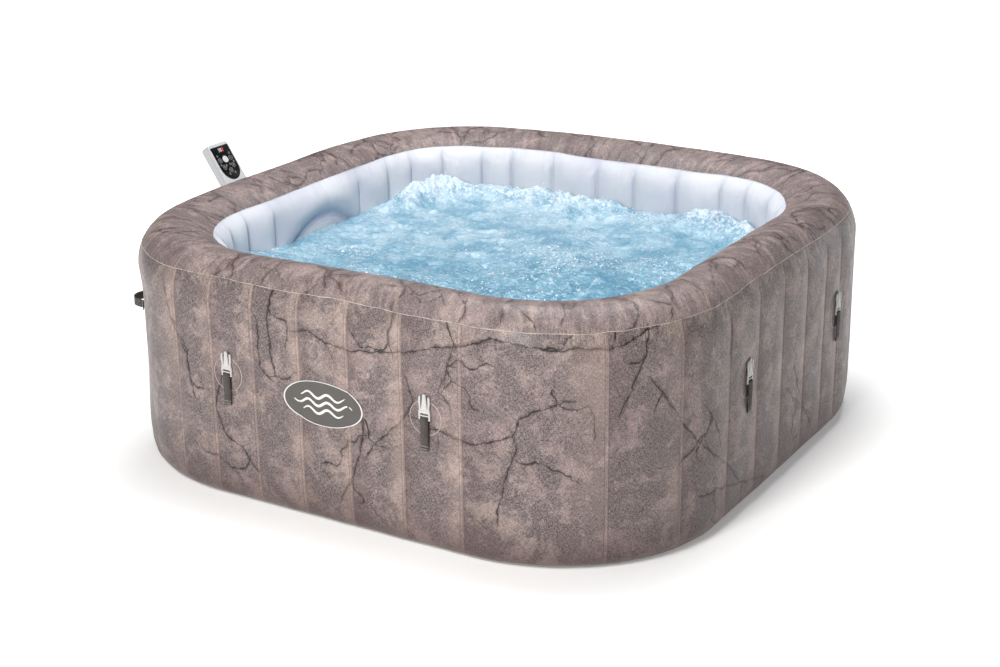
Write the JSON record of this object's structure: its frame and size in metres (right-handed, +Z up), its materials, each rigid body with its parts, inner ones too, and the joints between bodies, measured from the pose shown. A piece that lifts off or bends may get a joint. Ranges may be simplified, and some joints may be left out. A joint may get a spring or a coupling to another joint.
{
  "type": "inflatable hot tub",
  "caption": "Square inflatable hot tub with round corners, welded rim, open basin and strap buckles, and a pump unit behind it with a telescopic control head.",
  "frame": {"origin": "centre of the tub's ground sheet, on the ground", "axes": "+Z up; the pump unit stands beyond the -X wall; -Y is the wall with the oval badge"},
  "size_m": [2.1706, 1.8712, 0.7726],
  "materials": {
    "stone_print": "stone-print laminated PVC, satin",
    "white_pvc": "white laminated PVC, satin",
    "ground_pvc": "dark grey PVC, matt",
    "badge": "printed oval patch, satin",
    "webbing": "woven polypropylene webbing",
    "buckle_plastic": "moulded acetal, satin",
    "fitting_plastic": "moulded polypropylene, satin",
    "head_plastic": "moulded ABS, satin",
    "panel_black": "glossy black overlay",
    "button_white": "glossy white",
    "key_grey": "glossy dark grey",
    "casing_plastic": "moulded polypropylene, fine grain",
    "motor_plastic": "moulded nylon, matt",
    "wheel_plastic": "moulded nylon, matt",
    "heater_steel": "brushed stainless",
    "board": "solder mask",
    "filter_pleats": "pleated filter fleece",
    "rubber": "matt rubber"
  },
  "bodies": {
    "tub": {"air_blower": "motor_plastic", "air_coupling": "fitting_plastic", "air_duct": "white_pvc", "air_feed_tube": "white_pvc", "badge_plaque": "badge", "base_sheet": "ground_pvc", "carry_handle_1": "webbing", "carry_handle_2": "webbing", "chamber_webs": "white_pvc", "circulation_pump": "motor_plastic", "control_board": "board", "cord_inlet": "rubber", "coupling_disc": "white_pvc", "drain_valve": "fitting_plastic", "filter_cartridge": "filter_pleats", "floor_sheet": "white_pvc", "inflation_valve": "fitting_plastic", "inlet_coupling": "fitting_plastic", "inner_wall": "white_pvc", "outer_wall": "stone_print", "outlet_coupling": "fitting_plastic", "pump_base": "casing_plastic", "pump_casing": "casing_plastic", "pump_top_cover": "casing_plastic", "strap_tab_1": "webbing", "strap_tab_2": "webbing", "strap_tab_3": "webbing", "strap_tab_4": "webbing", "strap_tab_5": "webbing", "strap_tab_6": "webbing", "strap_tab_7": "webbing", "strap_tab_8": "webbing", "top_rim": "stone_print", "transfer_hose": "rubber", "water_heater": "heater_steel"},
    "control_head": {"telescopic_stalk": "casing_plastic", "head_rear_shell": "head_plastic", "head_front_shell": "head_plastic", "control_panel": "panel_black"},
    "start_button": {"start_button": "button_white"},
    "pump_impeller": {"pump_impeller": "wheel_plastic"},
    "blower_wheel": {"blower_wheel": "wheel_plastic"},
    "coupling_nut_inlet": {"coupling_nut_inlet": "casing_plastic"},
    "coupling_nut_air": {"coupling_nut_air": "casing_plastic"},
    "coupling_nut_outlet": {"coupling_nut_outlet": "casing_plastic"},
    "drain_cap": {"drain_cap": "fitting_plastic"},
    "inflation_cap": {"inflation_cap": "fitting_plastic"},
    "key_1": {"key_1": "key_grey"},
    "key_2": {"key_2": "key_grey"},
    "key_3": {"key_3": "key_grey"},
    "key_4": {"key_4": "key_grey"},
    "key_5": {"key_5": "key_grey"},
    "buckle_1": {"buckle_1": "buckle_plastic"},
    "buckle_2": {"buckle_2": "buckle_plastic"},
    "buckle_3": {"buckle_3": "buckle_plastic"},
    "buckle_4": {"buckle_4": "buckle_plastic"},
    "buckle_5": {"buckle_5": "buckle_plastic"},
    "buckle_6": {"buckle_6": "buckle_plastic"},
    "buckle_7": {"buckle_7": "buckle_plastic"},
    "buckle_8": {"buckle_8": "buckle_plastic"}
  },
  "joints": [
    {"name": "buckle_1_hinge", "type": "hinge", "parent": "tub", "child": "buckle_1", "pos_m": [-0.35, -0.9312, 0.3875], "axis": [1, 0, 0], "range_deg": [0, 110]},
    {"name": "buckle_2_hinge", "type": "hinge", "parent": "tub", "child": "buckle_2", "pos_m": [0.305, -0.9312, 0.3875], "axis": [1, 0, 0], "range_deg": [0, 110]},
    {"name": "buckle_3_hinge", "type": "hinge", "parent": "tub", "child": "buckle_3", "pos_m": [0.9312, -0.27, 0.3875], "axis": [0, 1, 0], "range_deg": [0, 110]},
    {"name": "buckle_4_hinge", "type": "hinge", "parent": "tub", "child": "buckle_4", "pos_m": [0.9312, 0.39, 0.3875], "axis": [0, 1, 0], "range_deg": [0, 110]},
    {"name": "buckle_5_hinge", "type": "hinge", "parent": "tub", "child": "buckle_5", "pos_m": [0.33, 0.9312, 0.3875], "axis": [-1, 0, 0], "range_deg": [0, 110]},
    {"name": "buckle_6_hinge", "type": "hinge", "parent": "tub", "child": "buckle_6", "pos_m": [-0.33, 0.9312, 0.3875], "axis": [-1, 0, 0], "range_deg": [0, 110]},
    {"name": "buckle_7_hinge", "type": "hinge", "parent": "tub", "child": "buckle_7", "pos_m": [-0.9312, 0.33, 0.3875], "axis": [0, -1, 0], "range_deg": [0, 110]},
    {"name": "buckle_8_hinge", "type": "hinge", "parent": "tub", "child": "buckle_8", "pos_m": [-0.9312, -0.33, 0.3875], "axis": [0, -1, 0], "range_deg": [0, 110]},
    {"name": "head_slide", "type": "slide", "parent": "tub", "child": "control_head", "axis": [0, 0, 1], "range_m": [-0.08, 0]},
    {"name": "start_press", "type": "slide", "parent": "control_head", "child": "start_button", "axis": [0.8339, 0, 0.5519], "range_m": [-0.001, 0], "stiffness_N_per_m": 300, "springref_m": 0.0005},
    {"name": "key_1_press", "type": "slide", "parent": "control_head", "child": "key_1", "axis": [0.8339, 0, 0.5519], "range_m": [-0.0008, 0], "stiffness_N_per_m": 300, "springref_m": 0.0005},
    {"name": "key_2_press", "type": "slide", "parent": "control_head", "child": "key_2", "axis": [0.8339, 0, 0.5519], "range_m": [-0.0008, 0], "stiffness_N_per_m": 300, "springref_m": 0.0005},
    {"name": "key_3_press", "type": "slide", "parent": "control_head", "child": "key_3", "axis": [0.8339, 0, 0.5519], "range_m": [-0.0008, 0], "stiffness_N_per_m": 300, "springref_m": 0.0005},
    {"name": "key_4_press", "type": "slide", "parent": "control_head", "child": "key_4", "axis": [0.8339, 0, 0.5519], "range_m": [-0.0008, 0], "stiffness_N_per_m": 300, "springref_m": 0.0005},
    {"name": "key_5_press", "type": "slide", "parent": "control_head", "child": "key_5", "axis": [0.8339, 0, 0.5519], "range_m": [-0.0008, 0], "stiffness_N_per_m": 300, "springref_m": 0.0005},
    {"name": "impeller_spin", "type": "hinge", "parent": "tub", "child": "pump_impeller", "pos_m": [-1.02, -0.147, 0.28], "axis": [1, 0, 0], "continuous": true},
    {"name": "blower_spin", "type": "hinge", "parent": "tub", "child": "blower_wheel", "pos_m": [-1.02, -0.047, 0.28], "axis": [1, 0, 0], "continuous": true},
    {"name": "inlet_nut_turn", "type": "hinge", "parent": "tub", "child": "coupling_nut_inlet", "pos_m": [-0.947, -0.147, 0.28], "axis": [-1, 0, 0], "range_deg": [0, 360]},
    {"name": "air_nut_turn", "type": "hinge", "parent": "tub", "child": "coupling_nut_air", "pos_m": [-0.947, -0.047, 0.28], "axis": [-1, 0, 0], "range_deg": [0, 360]},
    {"name": "outlet_nut_turn", "type": "hinge", "parent": "tub", "child": "coupling_nut_outlet", "pos_m": [-0.947, 0.053, 0.28], "axis": [-1, 0, 0], "range_deg": [0, 360]},
    {"name": "drain_cap_turn", "type": "hinge", "parent": "tub", "child": "drain_cap", "pos_m": [-0.94, -0.318, 0.09], "axis": [-1, 0, 0], "range_deg": [0, 360]},
    {"name": "inflation_cap_turn", "type": "hinge", "parent": "tub", "child": "inflation_cap", "pos_m": [-0.94, 0.318, 0.16], "axis": [-1, 0, 0], "range_deg": [0, 360]}
  ]
}
